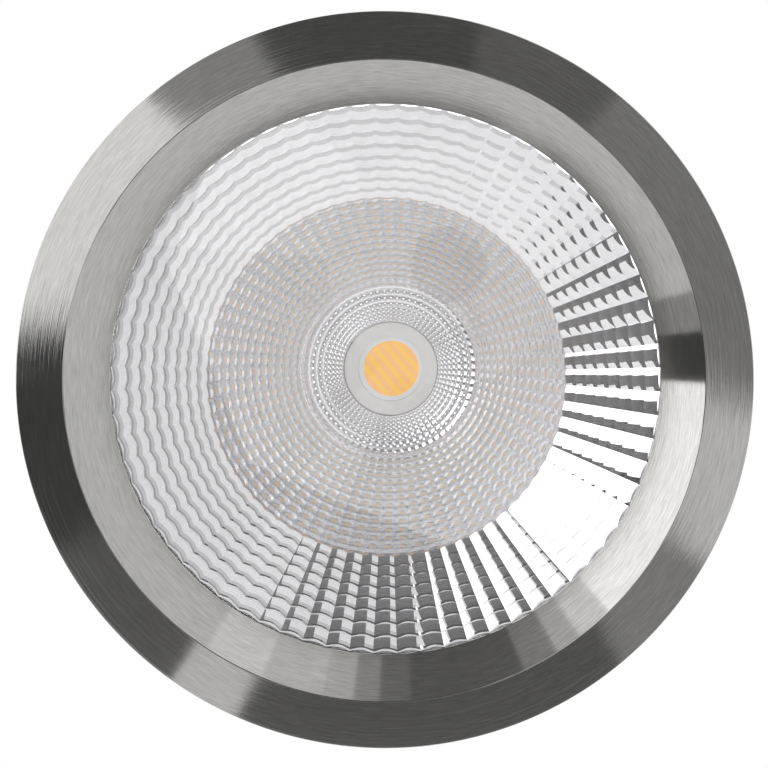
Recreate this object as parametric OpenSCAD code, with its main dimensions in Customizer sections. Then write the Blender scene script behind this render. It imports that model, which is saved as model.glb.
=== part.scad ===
// Recessed soffit downlight: a bevelled stainless trim ring and a clear lens in front of a
// faceted reflector, a chip-on-board LED behind its neck, then the can, the heat sink and
// the driver case, with three sprung clips that hold it up in the ceiling board.
// Millimetres. z = 0 is the soffit plane, +z points up into the ceiling and the light shines
// down. The clips stand at rest as they hang, on their stops.

/* [Trim ring] */
// Outside diameter of the trim ring
face_d = 200; // [198:1:220]
// Diameter of the hole in the ceiling board
cutout_d = 175; // [174:0.5:178]
// Clearance all round between the spigot and that hole
cutout_clearance = 1; // [0.5:0.1:1.5]
// Diameter of the ridge between the outer bevel and the inner cone
ridge_d = 173.8; // [168:0.2:182]
// Diameter of the light opening at the lip
opening_d = 150.2; // [148:0.2:151]
// Thickness of the ring at its outer edge
edge_t = 1.5; // [1:0.1:3]
// Fall of the outer bevel from the edge to the ridge
bevel_drop = 3.2; // [2:0.1:5]
// Rise of the inner cone from the ridge to the lip
cone_rise = 10.7; // [10:0.1:12]
// Thickness of the lip in front of the lens gasket
lip_t = 1; // [0.8:0.1:1.5]
// Height of the spigot from the back of the flange
spigot_h = 15.5; // [15:0.1:18]
// Thickness of the sponge gasket on the soffit
soffit_gasket_t = 1.5; // [1:0.1:3]
// Width of the sponge gasket
soffit_gasket_w = 9.5; // [6:0.5:10]

/* [Lens] */
// Thickness of the glass
lens_t = 3; // [2.8:0.1:3.4]
// How far the glass reaches past the opening on each side
lens_overlap = 3.4; // [2.5:0.1:3.8]
// Thickness of the gasket's lips before and behind the glass
lens_gasket_lip = 0.4; // [0.3:0.05:0.6]
// Thickness of the gasket round the edge of the glass
lens_gasket_wall = 0.7; // [0.5:0.1:0.9]

/* [Reflector] */
// Facets round the reflector
sectors = 72; // [48:4:80]
// Rows of facets in the shallow outer zone
outer_rows = 8; // [5:1:9]
// Rows of facets in the deep inner zone
inner_rows = 21; // [12:1:22]
// Radius of the step between the two zones
step_r = 49.8; // [46:0.2:53]
// Depth of the outer zone, from the rim up to the step
outer_zone_h = 11.3; // [9:0.1:13]
// Height of the small ledge at the step
ledge_h = 3.4; // [2:0.1:4]
// Radius of the hole round the LED
neck_r = 13.6; // [13.5:0.1:14.5]
// Depth of the rounded shoulder between the bowl and the hole round the LED
shoulder_h = 3.4; // [3:0.1:5]
// Wall of the reflector
reflector_wall = 1.6; // [1.2:0.1:2]

/* [LED] */
// Depth of the light-emitting surface behind the trim's outer edge
led_depth = 75; // [74:0.5:80]
// Diameter of the light-emitting surface
les_d = 15.9; // [12:0.1:17]
// Thickness of the dam and phosphor on the LED board
phosphor_t = 0.9; // [0.6:0.1:1.2]
// Side of the square LED board
led_board_w = 24; // [22:0.5:26]
// Thickness of the LED board
led_board_t = 1; // [0.8:0.1:1.6]
// Thickness of the thermal pad
pad_t = 0.3; // [0.2:0.1:0.5]
// Diameter of the LED holder
holder_d = 48; // [46:0.5:50]
// Diameter of the holder's raised face
holder_face_d = 26.6; // [24:0.1:26.8]
// How far that face stands proud of the holder
holder_face_h = 1; // [0.5:0.1:1.5]
// Thickness of a lead with its insulation
lead_d = 1.4; // [1:0.1:1.6]

/* [Can] */
// Outside diameter of the can
can_d = 140; // [138:1:141]
// Wall of the can
can_wall = 2.4; // [2:0.1:3]
// Height of the cooling ribs on the can's wall
can_rib_h = 2.4; // [2:0.2:5]
// Thickness of the can's flange on the trim
can_flange_t = 5; // [5:0.1:6]
// Thickness of the can's top plate
can_top_t = 3.8; // [3:0.1:5]
// Thickness of the rib that clamps the lens gasket
rib_t = 1.5; // [1.2:0.1:1.8]

/* [Heat sink] */
// Number of fins
fins = 32; // [16:2:40]
// Thickness of a fin
fin_t = 2.2; // [1.5:0.1:2.6]
// Height of the fins above the base plate
fin_h = 26; // [15:1:28]
// Thickness of the base plate
sink_base_t = 6; // [5:0.5:8]
// Diameter of the solid core
core_d = 60; // [59:1:64]
// Thickness of the seal under the base plate
sink_seal_t = 0.5; // [0.3:0.1:0.8]

/* [Driver case] */
// Outside diameter of the driver case
case_d = 112; // [110:1:118]
// Height of the driver case without its cover
case_h = 31.8; // [30:0.2:40]
// Wall of the driver case
case_wall = 2.2; // [1.8:0.1:3]
// Thickness of the cover
cover_t = 3; // [2.5:0.1:4]
// Air gap between the sink's core and the case
standoff_h = 8; // [5:0.5:12]
// Thickness of the driver's circuit board
driver_board_t = 1.6; // [1:0.1:2]
// Radius of the cable passage in the gland
cable_r = 4.2; // [3:0.1:4.3]

/* [Spring clips] */
// Radius of the hinge pin
pin_r = 1.5; // [1.2:0.1:1.6]
// Height of the hinge pin above the can's flange
pivot_h = 9; // [8.8:0.1:11]
// Length of the arm from its pin to the toe
arm_l = 21.4; // [18:0.2:21.8]
// Length of the toe that bears on the ceiling board
toe_l = 6; // [4.5:0.1:6.2]
// Thickness of the arm's steel strip
arm_t = 1.5; // [1:0.1:1.6]
// Width of the arm
arm_w = 12.4; // [12.2:0.1:13]
// How far the arm hangs below the horizontal at its stop
arm_rest_angle = 80; // [78:1:82]
// Thickness of the spring wire
wire_d = 1.2; // [1:0.1:1.25]
// Turns of each spring
spring_turns = 4.25; // [2.25:1:4.25]

/* [Hidden] */
$fn = 96;
eps = 0.01;

// Clearances: between loose pieces, round a screw in its thread or hole, and at a hinge
gap = 0.3;
thread_gap = 0.05;
hole_gap = 0.25;
hinge_gap = 0.06;

// Cuts run past the faces that they open, and blind holes past the tips of their screws
over = 1;
hole_spare = 1;

// Screw sizes: shaft radius, head radius and head height
m4 = [2, 3.4, 2.4];
m4_low = [2, 3.4, 2];
m3 = [1.5, 2.8, 1.6];

// Heights of the trim ring
back_z = -soffit_gasket_t;
edge_z = back_z - edge_t;
ridge_z = edge_z - bevel_drop;
lip_z = ridge_z + cone_rise;
seat_z = lip_z + lip_t;
spigot_z = back_z + spigot_h;

// The trim's sharp edges are broken, and its spigot leads into the hole with a chamfer
break_edge = 0.2;
spigot_lead = 0.5;

// Radii of the trim ring, the lens and its gasket
lens_gasket_inset = 0.5;
soffit_gasket_inset = 2;
face_r = face_d / 2;
ridge_r = ridge_d / 2;
opening_r = opening_d / 2;
spigot_r = cutout_d / 2 - cutout_clearance;
lens_r = opening_r + lens_overlap;
gasket_r = lens_r + lens_gasket_wall;
recess_r = gasket_r + gap;
gasket_lip_r = opening_r + lens_gasket_inset;
soffit_gasket_r = spigot_r + soffit_gasket_inset;
lens_z = seat_z + lens_gasket_lip;
rim_z = lens_z + lens_t + lens_gasket_lip;

// The screws stand in the middle of the spigot's wall
front_screw_r = (recess_r + spigot_r) / 2;
front_screw_count = 6;
front_screw_depth = 6;

// Reflector: rim, zones and outside skin
rim_inset = 0.14;
rim_r = opening_r + rim_inset;
rib_out_r = recess_r - gap;
rib_in_r = rib_out_r - rib_t;
reflector_flange_r = rib_in_r - gap;
step_z = rim_z + outer_zone_h;
ledge_w = 0.5;
ledge_r = step_r - ledge_w;
bowl_z = step_z + ledge_h;

// LED stack, from the phosphor up to the heat sink
les_r = les_d / 2;
les_z = edge_z + led_depth;
led_face_z = les_z + phosphor_t;
led_back_z = led_face_z + led_board_t;
pedestal_z = led_back_z + pad_t;
dam_w = 1.1;
dam_rise = 0.1;
dam_r = les_r + dam_w;
holder_wall = 1.4;
holder_z = led_face_z - holder_wall;
holder_face_z = holder_z - holder_face_h;
holder_window_r = dam_r + gap;
holder_screw_r = holder_d * 0.4;
holder_screw_depth = 4;
holder_pocket = m3[2];
neck_z = holder_z - gap;

// The bowl is a paraboloid with its focus on the light-emitting surface, up to the shoulder
bowl_reach = les_z - bowl_z;
focal = (norm([ledge_r, bowl_reach]) - bowl_reach) / 2;
bowl_top_z = neck_z - reflector_wall;
shoulder_z = bowl_top_z - shoulder_h;
shoulder_r = sqrt(4 * focal * (les_z + focal - shoulder_z));
shoulder_slope = shoulder_r / (2 * focal);
shoulder_power = shoulder_slope * (shoulder_r - neck_r) / shoulder_h;

// Can and heat sink
can_r = can_d / 2;
can_wall_r = can_r - can_rib_h;
can_inner_r = can_wall_r - can_wall;
can_mouth_r = can_r + can_wall;
flange_z = spigot_z + can_flange_t;
can_flange_inset = 0.6;
can_flange_r = spigot_r - can_flange_inset;
pedestal_h = 1.3;
sink_z = pedestal_z + pedestal_h;
can_top_z = sink_z - sink_seal_t;
can_ceiling_z = can_top_z - can_top_t;
core_r = core_d / 2;
core_rim = 4;
can_hole_r = core_r + core_rim;
sink_seal_w = 6;
sink_base_z = sink_z + sink_base_t;
fin_top_z = sink_base_z + fin_h;
core_rise = 2;
core_top_z = fin_top_z + core_rise;
fin_inset = 0.5;
fin_root = 1;
sink_screw_r = (can_hole_r + can_wall_r) / 2;
sink_screw_depth = sink_base_t * 2 / 3;
sink_screw_count = 6;

// Leads run out from the LED board and up through a channel in the core
lead_angle = 45;
lead_start_r = 13.8;
lead_channel_r = 25.5;
lead_bend_r = 2.2;
lead_pitch = 2.2;
channel_r = 2.6;
grommet_wall = 1.6;
grommet_rim = 1.8;
grommet_rim_t = 1.5;
grommet_hole_r = channel_r + grommet_wall;
grommet_r = grommet_hole_r + grommet_rim;

// Driver case and what it holds
case_r = case_d / 2;
case_inner_r = case_r - case_wall;
case_z = core_top_z + standoff_h;
case_floor_z = case_z + case_wall;
case_top_z = case_z + case_h;
case_gasket_t = 0.8;
cover_z = case_top_z;
case_rim_z = cover_z - case_gasket_t;
cover_bevel = 1;
vent_y = case_inner_r * 0.63;
vent_r = 3;
vent_hex_r = 6;
vent_hex_h = 2.5;
vent_cap_r = 5;
vent_cap_h = 0.9;
standoff_r = 22;
standoff_hex_r = 4;
stud_l = 6;
boss_r = 4;
boss_gap = 0.8;
boss_at_r = case_inner_r - boss_r - boss_gap;
cover_screw_depth = 6;

// The driver's board lies between the bosses, and its screws stand in from its corners
board_gap = 1.6;
board_y = 2 * (boss_at_r * cos(45) - boss_r - board_gap);
board_x = board_y * 1.2;
pillar_r = 3;
pillar_h = 3.8;
board_z = case_floor_z + pillar_h;
board_top_z = board_z + driver_board_t;
board_hole_inset = 3.4;
board_hole_x = board_x / 2 - board_hole_inset;
board_hole_y = board_y / 2 - board_hole_inset;
board_screw_depth = 3;

// Sizes of the driver's parts
transformer_w = 26;
transformer_l = 18;
transformer_h = 16;
transformer_leg = 4;
transformer_yoke = 3.5;
capacitor_r = 6;
capacitor_h = 17;
capacitor_mid_r = 5;
capacitor_mid_h = 14;
capacitor_small_r = 4;
capacitor_small_h = 12;
choke_r = 5.5;
choke_w = 7;
choke_h = 8;
terminal_w = 24;
terminal_l = 10;
terminal_h = 11;
terminal_pitch = 7.5;
terminal_screw_r = 1.8;
terminal_slot = 5;

// Cable gland on the case's side, pointing to -y
gland_h = 15;
gland_z = case_floor_z + gland_h;
gland_thread_r = 8;
gland_thread_l = 5;
gland_hex_r = 11;
gland_rim = 1;
gland_pad_t = 2.8;
gland_out = case_r + gland_rim;
gland_in = case_inner_r - gland_pad_t;
gland_flange_t = 4;
locknut_t = 3.5;
gland_face = gland_out + gland_flange_t;
gland_neck_l = 6;
gland_nut_l = 12;
gland_end = gland_face + gap + gland_nut_l;
gland_end_wall = 3;

// Clips: the pin lies along the tangent, and x points outwards
clips = 3;
clip_start = 90;
ear_r = 3.8;
ear_t = 1.2;
ear_l = 5.5;
web_n = 4.6;
ear_gap = 0.4;
cheek_t = 1.5;
cheek_r = 3.6;
foot_t = 1.5;
pivot_x = spigot_r - ear_r - ear_gap;
pivot_z = flange_z + pivot_h;
cheek_y = arm_w / 2 + ear_gap;
foot_gap = 0.8;
foot_in_x = can_r + foot_gap;
foot_reach = 3;
foot_out_x = pivot_x + foot_reach;
cheek_back = 6;
coil_gap = 1.1;
coil_side_gap = 0.8;
coil_r = pin_r + wire_d / 2 + coil_gap;
coil_half = arm_w / 2 - ear_t - wire_d / 2 - coil_side_gap;
bracket_screw_in = 3.3;
bracket_screw_x = pivot_x - bracket_screw_in;
bracket_screw_depth = 3;
stop_in = 3.45;
stop_x = pivot_x - stop_in;
stop_h = 3.5;
pin_head = 0.7;
pin_head_t = 0.8;
ear_foot = 3;
strip_back = 1;
pad_wall = 0.8;

// --- Helpers ---

// A flat ring between two heights
module ring(r_out, r_in, z0, z1) {
    translate([0, 0, z0]) difference() {
        cylinder(r = r_out, h = z1 - z0);
        translate([0, 0, -over]) cylinder(r = r_in, h = z1 - z0 + 2 * over);
    }
}

// A solid disc between two heights
module disc(r, z0, z1) {
    translate([0, 0, z0]) cylinder(r = r, h = z1 - z0);
}

// A socket screw: its head stands on z = 0 and its shaft goes down
module screw(size, length) {
    difference() {
        union() {
            cylinder(r = size[1], h = size[2]);
            translate([0, 0, -length]) cylinder(r = size[0], h = length + eps);
        }
        translate([0, 0, size[2] * 0.4]) cylinder(r = size[0] * 0.75, h = size[2], $fn = 6);
    }
}

// Copies of the children on a circle
module around(count, r, start = 0) {
    for (i = [0 : count - 1]) rotate([0, 0, start + i * 360 / count]) translate([r, 0, 0]) children();
}

// The places of the clips
module at_clips() {
    for (i = [0 : clips - 1]) rotate([0, 0, clip_start + i * 360 / clips]) children();
}

// A cylinder that lies along y
module y_cylinder(r, y0, y1, sides = 96) {
    translate([0, y0, 0]) rotate([-90, 0, 0]) cylinder(r = r, h = y1 - y0, $fn = sides);
}

// --- Trim, gaskets and lens ---

// The trim ring in section: outer bevel, inner cone, lens seat and spigot
module trim_ring() {
    color("silver") difference() {
        rotate_extrude() polygon([
            [face_r - break_edge, edge_z - break_edge * bevel_drop / (face_r - ridge_r)],
            [face_r, edge_z + break_edge],
            [face_r, back_z - break_edge],
            [face_r - break_edge, back_z],
            [spigot_r, back_z],
            [spigot_r, spigot_z - spigot_lead],
            [spigot_r - spigot_lead, spigot_z],
            [recess_r, spigot_z],
            [recess_r, seat_z],
            [opening_r, seat_z],
            [opening_r, lip_z],
            [ridge_r, ridge_z]
        ]);
        around(front_screw_count, front_screw_r)
            disc(m3[0] + thread_gap, spigot_z - front_screw_depth - hole_spare, spigot_z + over);
    }
}

// A closed-cell sponge ring between the flange and the soffit
module soffit_gasket() {
    color([0.12, 0.12, 0.12]) ring(soffit_gasket_r + soffit_gasket_w, soffit_gasket_r, back_z, 0);
}

// The toughened glass, with its edge ground round
module lens_glass() {
    edge = lens_t / 4;
    color([0.85, 0.93, 0.95, 0.3]) rotate_extrude() polygon([
        [0, lens_z],
        [lens_r - edge, lens_z],
        [lens_r, lens_z + edge],
        [lens_r, lens_z + lens_t - edge],
        [lens_r - edge, lens_z + lens_t],
        [0, lens_z + lens_t]
    ]);
}

// A channel of silicone round the edge of the glass
module lens_gasket() {
    groove_r = lens_r + thread_gap;
    color([0.08, 0.08, 0.08]) rotate_extrude() polygon([
        [gasket_lip_r, seat_z],
        [gasket_r, seat_z],
        [gasket_r, rim_z],
        [gasket_lip_r, rim_z],
        [gasket_lip_r, lens_z + lens_t],
        [groove_r, lens_z + lens_t],
        [groove_r, lens_z],
        [gasket_lip_r, lens_z]
    ]);
}

// --- Reflector ---

// Facet rows of the outer zone narrow inwards by one ratio from row to row
row_ratio = 0.957;
function outer_r(i) =
    rim_r - (rim_r - step_r) * (1 - pow(row_ratio, i)) / (1 - pow(row_ratio, outer_rows));
function outer_z(r) = rim_z + outer_zone_h * (rim_r - r) / (rim_r - step_r);

// The rows of the inner zone crowd together near the hole, where its shoulder turns level
function inner_share(x) = 1.18 * x - 0.18 * pow(x, 4);
function inner_r(j) = ledge_r - (ledge_r - neck_r) * inner_share(j / inner_rows);
function shoulder_share(r) = max(0, (r - neck_r) / (shoulder_r - neck_r));
function bowl(r) = r > shoulder_r
    ? les_z + focal - pow(r, 2) / (4 * focal)
    : bowl_top_z - shoulder_h * pow(shoulder_share(r), shoulder_power);

// The outside of the bowl lies one wall thickness out along its normal
function bowl_slope(r) = r > shoulder_r
    ? r / (2 * focal)
    : shoulder_slope * pow(shoulder_share(r), shoulder_power - 1);
function bowl_back(r) =
    let (k = reflector_wall / sqrt(1 + pow(bowl_slope(r), 2)))
    [r + k * bowl_slope(r), bowl(r) + k];

outer_slope = outer_zone_h / (rim_r - step_r);
outer_lift = reflector_wall * sqrt(1 + pow(outer_slope, 2));
step_back_r = step_r + reflector_wall;
back_rows = 8;
function back_r(j) = neck_r + (ledge_r - neck_r) * j / back_rows;

reflector_profile = concat(
    [[reflector_flange_r, rim_z]],
    [for (i = [0 : outer_rows]) [outer_r(i), outer_z(outer_r(i))]],
    [for (j = [0 : inner_rows]) [inner_r(j), bowl(inner_r(j))]],
    [for (j = [0 : back_rows]) bowl_back(back_r(j))],
    [[step_back_r, outer_z(step_back_r) + outer_lift]],
    [[rim_r, rim_z + outer_lift], [reflector_flange_r, rim_z + outer_lift]]
);

// Turns a closed outline round the z axis in flat facets
module faceted_ring(outline, count) {
    n = len(outline);
    points = [
        for (s = [0 : count - 1])
            let (a = (s + 0.5) * 360 / count)
            for (p = outline) [p[0] * cos(a), p[0] * sin(a), p[1]]
    ];
    faces = [
        for (s = [0 : count - 1])
            for (i = [0 : n - 1])
                let (here = s * n, there = ((s + 1) % count) * n, next = (i + 1) % n)
                [here + i, there + i, there + next, here + next]
    ];
    polyhedron(points = points, faces = faces, convexity = 8);
}

// A metallised moulding with rows of facets; its rim sits on the lens gasket
module reflector() {
    color([0.86, 0.86, 0.87]) faceted_ring(reflector_profile, sectors);
}

// --- LED and its holder ---

// A ceramic board with a raised dam round the phosphor
module led_board() {
    color([0.93, 0.93, 0.9]) {
        translate([-led_board_w / 2, -led_board_w / 2, led_face_z])
            cube([led_board_w, led_board_w, led_board_t]);
        ring(dam_r, les_r, les_z - dam_rise, led_face_z);
    }
}

// The yellow phosphor inside the dam
module led_phosphor() {
    color([0.97, 0.76, 0.3]) disc(les_r, les_z, led_face_z);
}

// A soft pad between the LED board and the heat sink
module thermal_pad() {
    color([0.75, 0.75, 0.78]) translate([-led_board_w / 2, -led_board_w / 2, led_back_z])
        cube([led_board_w, led_board_w, pad_t]);
}

// The white moulding that holds the LED board, with pockets for its screws and a slot for the leads
module led_holder() {
    pocket = led_board_w + 2 * gap;
    slot_w = lead_pitch + 2 * lead_d;
    color([0.94, 0.94, 0.92]) difference() {
        union() {
            disc(holder_d / 2, holder_z, pedestal_z);
            disc(holder_face_d / 2, holder_face_z, holder_z + eps);
        }
        disc(holder_window_r, holder_face_z - over, pedestal_z + over);
        around(2, holder_screw_r) disc(m3[1] + hole_gap, holder_z - over, holder_z + holder_pocket);
        translate([-pocket / 2, -pocket / 2, led_face_z - thread_gap])
            cube([pocket, pocket, pedestal_z - led_face_z + over]);
        rotate([0, 0, lead_angle])
            translate([lead_start_r - 2 * gap, -slot_w / 2, holder_z - over])
                cube([holder_d, slot_w, pedestal_z - holder_z + 2 * over]);
        around(2, holder_screw_r) disc(m3[0] + hole_gap, holder_z - over, pedestal_z + over);
    }
}

// Two screws that hold the LED holder on the core, with their heads sunk in its pockets
module holder_screws() {
    color("silver") around(2, holder_screw_r)
        translate([0, 0, holder_z + holder_pocket]) mirror([0, 0, 1])
            screw(m3, pedestal_z - holder_z - holder_pocket + holder_screw_depth);
}

// One lead: out along the LED board, round a bend and up the channel to the driver board
module lead() {
    bend_x = lead_channel_r - lead_bend_r;
    lead_z = led_face_z - lead_d / 2 - thread_gap;
    rise_z = lead_z + lead_bend_r;
    translate([lead_start_r, 0, lead_z]) rotate([0, 90, 0])
        cylinder(d = lead_d, h = bend_x - lead_start_r);
    translate([bend_x, 0, rise_z]) rotate([90, 0, 0]) rotate([0, 0, -90])
        rotate_extrude(angle = 90) translate([lead_bend_r, 0]) circle(d = lead_d);
    translate([lead_channel_r, 0, rise_z]) cylinder(d = lead_d, h = board_z - rise_z);
}

// The red and black leads of the LED, each whole along its route
module led_leads() {
    for (side = [-1, 1])
        color(side > 0 ? [0.75, 0.1, 0.1] : [0.1, 0.1, 0.1])
            rotate([0, 0, lead_angle]) translate([0, side * lead_pitch / 2, 0]) lead();
}

// --- Can, seal and heat sink ---

// Upright fins all round, shared by the can and the heat sink so that they line up
module radial_fins(r_in, r_out, z0, z1) {
    for (i = [0 : fins - 1]) rotate([0, 0, (i + 0.5) * 360 / fins])
        translate([r_in, -fin_t / 2, z0]) cube([r_out - r_in, fin_t, z1 - z0]);
}

// A cast can: the flange on the trim, the lip on the lens gasket, the top plate and the ribs
module housing_can() {
    color([0.6, 0.61, 0.63]) difference() {
        union() {
            rotate_extrude() polygon([
                [can_flange_r, spigot_z],
                [can_flange_r, flange_z],
                [can_wall_r, flange_z],
                [can_wall_r, can_ceiling_z],
                [can_r, can_ceiling_z],
                [can_r, can_top_z],
                [can_hole_r, can_top_z],
                [can_hole_r, can_ceiling_z],
                [can_inner_r, can_ceiling_z],
                [can_inner_r, flange_z],
                [can_mouth_r, spigot_z],
                [rib_in_r, spigot_z],
                [rib_in_r, rim_z],
                [rib_out_r, rim_z],
                [rib_out_r, spigot_z]
            ]);
            radial_fins(can_wall_r - fin_root, can_r - fin_inset, flange_z - eps, can_ceiling_z + eps);
        }
        around(front_screw_count, front_screw_r) disc(m3[0] + hole_gap, spigot_z - over, flange_z + over);
        around(sink_screw_count, sink_screw_r, 30)
            disc(m4[0] + hole_gap, can_ceiling_z - over, can_top_z + over);
        at_clips() translate([bracket_screw_x, 0, 0])
            disc(m3[0] + thread_gap, flange_z - bracket_screw_depth - hole_spare, flange_z + over);
    }
}

// Six screws through the can's flange into the spigot
module front_screws() {
    color("silver") around(front_screw_count, front_screw_r)
        translate([0, 0, flange_z]) screw(m3, can_flange_t + front_screw_depth);
}

// A flat silicone seal between the can and the heat sink
module sink_seal() {
    color([0.1, 0.1, 0.1]) ring(can_wall_r, can_wall_r - sink_seal_w, can_top_z, sink_z);
}

// The cast heat sink: base plate, solid core with its pedestal, and radial fins
module heat_sink() {
    color([0.66, 0.67, 0.69]) difference() {
        union() {
            disc(can_r, sink_z, sink_base_z);
            disc(core_r, pedestal_z, core_top_z);
            radial_fins(core_r - fin_root, can_r - fin_inset, sink_base_z - eps, fin_top_z);
        }
        rotate([0, 0, lead_angle]) translate([lead_channel_r, 0, 0])
            disc(channel_r, pedestal_z - over, core_top_z + over);
        around(2, holder_screw_r)
            disc(m3[0] + thread_gap, pedestal_z - over, pedestal_z + holder_screw_depth + hole_spare);
        around(sink_screw_count, sink_screw_r, 30)
            disc(m4[0] + thread_gap, sink_z - over, sink_z + sink_screw_depth + hole_spare);
        around(4, standoff_r)
            disc(m4[0] + thread_gap, core_top_z - stud_l - hole_spare, core_top_z + over);
    }
}

// Six screws through the can's top plate into the base of the heat sink
module sink_screws() {
    color("silver") around(sink_screw_count, sink_screw_r, 30)
        translate([0, 0, can_ceiling_z]) mirror([0, 0, 1])
            screw(m4, can_top_t + sink_seal_t + sink_screw_depth);
}

// --- Driver case ---

// Four hexagon spacers, each with a stud below and a threaded hole above
module case_standoffs() {
    color("silver") around(4, standoff_r) difference() {
        union() {
            translate([0, 0, core_top_z]) cylinder(r = standoff_hex_r, h = standoff_h, $fn = 6);
            disc(m4[0], core_top_z - stud_l, core_top_z + eps);
        }
        disc(m4[0] + thread_gap, case_z - standoff_h * 0.7, case_z + over);
    }
}

// Four screws from inside the case into the spacers
module standoff_screws() {
    color("silver") around(4, standoff_r) translate([0, 0, case_floor_z])
        screw(m4_low, case_wall + standoff_h / 2);
}

// A rubber grommet that seals the leads where they enter the case
module lead_grommet() {
    color([0.1, 0.1, 0.1]) rotate([0, 0, lead_angle]) translate([lead_channel_r, 0, 0]) difference() {
        union() {
            disc(grommet_r, case_z - grommet_rim_t, case_z);
            disc(grommet_hole_r, case_z - eps, case_floor_z + eps);
            disc(grommet_r, case_floor_z, case_floor_z + grommet_rim_t);
        }
        for (side = [-1, 1]) translate([0, side * lead_pitch / 2, 0])
            disc(lead_d / 2 + thread_gap, case_z - grommet_rim_t - over, case_floor_z + grommet_rim_t + over);
    }
}

// The cast cup of the driver case, with screw bosses, board pillars and a pad for the gland
module driver_case() {
    color([0.6, 0.61, 0.63]) difference() {
        union() {
            ring(case_r, case_inner_r, case_z, case_rim_z);
            disc(case_r - case_wall / 2, case_z, case_floor_z);
            around(4, boss_at_r, 45) disc(boss_r, case_z + case_wall / 2, case_top_z);
            board_places() disc(pillar_r, case_z + case_wall / 2, board_z);
            translate([0, 0, gland_z]) y_cylinder(gland_hex_r + gland_rim, -gland_out, -gland_in);
        }
        translate([0, 0, gland_z]) y_cylinder(gland_thread_r + thread_gap, -gland_out - over, 0);
        around(4, boss_at_r, 45)
            disc(m3[0] + thread_gap, case_top_z - cover_screw_depth - hole_spare, case_top_z + over);
        board_places() disc(m3[0] + thread_gap, case_floor_z, board_z + over);
        around(4, standoff_r) disc(m4[0] + hole_gap, case_z - over, case_floor_z + over);
        rotate([0, 0, lead_angle]) translate([lead_channel_r, 0, 0])
            disc(grommet_hole_r, case_z - over, case_floor_z + over);
    }
}

// The four fixing places of the driver's circuit board
module board_places() {
    for (x = [-board_hole_x, board_hole_x])
        for (y = [-board_hole_y, board_hole_y])
            translate([x, y, 0]) children();
}

// A flat seal on the rim of the case
module case_gasket() {
    color([0.1, 0.1, 0.1]) ring(case_r, case_inner_r, case_rim_z, cover_z);
}

// The lid of the driver case
module case_cover() {
    color([0.62, 0.63, 0.65]) difference() {
        rotate_extrude() polygon([
            [0, cover_z],
            [case_r, cover_z],
            [case_r, cover_z + cover_t - cover_bevel],
            [case_r - cover_bevel, cover_z + cover_t],
            [0, cover_z + cover_t]
        ]);
        around(4, boss_at_r, 45) disc(m3[0] + hole_gap, cover_z - over, cover_z + cover_t + over);
        translate([0, vent_y, 0]) disc(vent_r + thread_gap, cover_z - over, cover_z + cover_t + over);
    }
}

// Four screws through the lid
module cover_screws() {
    color("silver") around(4, boss_at_r, 45) translate([0, 0, cover_z + cover_t])
        screw(m3, cover_t + cover_screw_depth);
}

// A breather that lets the case equalise its pressure but keeps water out
module vent_plug() {
    color([0.15, 0.15, 0.15]) translate([0, vent_y, cover_z + cover_t]) {
        disc(vent_r, -cover_t, eps);
        cylinder(r = vent_hex_r, h = vent_hex_h, $fn = 6);
        disc(vent_cap_r, vent_hex_h - eps, vent_hex_h + vent_cap_h);
    }
}

// The driver's circuit board
module driver_board() {
    color([0.1, 0.35, 0.18]) difference() {
        translate([-board_x / 2, -board_y / 2, board_z]) cube([board_x, board_y, driver_board_t]);
        board_places() disc(m3[0] + hole_gap, board_z - over, board_top_z + over);
    }
}

// Four screws that hold the circuit board on its pillars
module board_screws() {
    color("silver") board_places() translate([0, 0, board_top_z])
        screw(m3, driver_board_t + board_screw_depth);
}

// The isolating transformer: a ferrite core round a wound bobbin
module transformer() {
    window_w = transformer_w - 2 * transformer_leg;
    window_h = transformer_h - 2 * transformer_yoke;
    translate([-0.2 * board_x, 0.07 * board_y, board_top_z]) {
        color([0.18, 0.18, 0.2]) difference() {
            translate([-transformer_w / 2, -transformer_l / 2, 0])
                cube([transformer_w, transformer_l, transformer_h]);
            translate([-window_w / 2, -transformer_l / 2 - over, transformer_yoke])
                cube([window_w, transformer_l + 2 * over, window_h]);
        }
        color([0.85, 0.7, 0.2])
            translate([gap - window_w / 2, -transformer_l * 0.4, transformer_yoke + gap])
                cube([window_w - 2 * gap, transformer_l * 0.8, window_h - 2 * gap]);
        color([0.18, 0.18, 0.2])
            translate([-window_w / 6, -transformer_l * 0.45, transformer_yoke / 2])
                cube([window_w / 3, transformer_l * 0.9, transformer_h - transformer_yoke]);
    }
}

// Three electrolytic capacitors with rounded cans
module capacitors() {
    color([0.12, 0.13, 0.3]) {
        capacitor(0.2, 0.28, capacitor_r, capacitor_h);
        capacitor(0.39, 0.17, capacitor_mid_r, capacitor_mid_h);
        capacitor(0.2, 0.05, capacitor_small_r, capacitor_small_h);
    }
}

// One capacitor, placed by its shares of the board's width and depth
module capacitor(x, y, r, h) {
    translate([x * board_x, y * board_y, 0]) disc(r, board_top_z, board_top_z + h);
}

// A toroidal choke that lies on the board
module choke() {
    color([0.72, 0.45, 0.2])
        translate([0.36 * board_x, -0.14 * board_y, board_top_z + choke_h / 2])
            rotate_extrude() translate([choke_r, 0]) square([choke_w, choke_h], center = true);
}

// The mains terminals, next to the gland
module terminal_block() {
    color([0.2, 0.4, 0.3]) translate([0, -0.31 * board_y, board_top_z]) difference() {
        translate([-terminal_w / 2, -terminal_l / 2, 0]) cube([terminal_w, terminal_l, terminal_h]);
        for (i = [-1 : 1]) translate([i * terminal_pitch, 0, 0]) {
            disc(terminal_screw_r, terminal_h * 0.55, terminal_h + over);
            translate([-terminal_slot / 2, -terminal_l / 2 - over, terminal_h * 0.14])
                cube([terminal_slot, terminal_l * 0.4 + over, terminal_h * 0.36]);
        }
    }
}

// --- Cable gland ---

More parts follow.
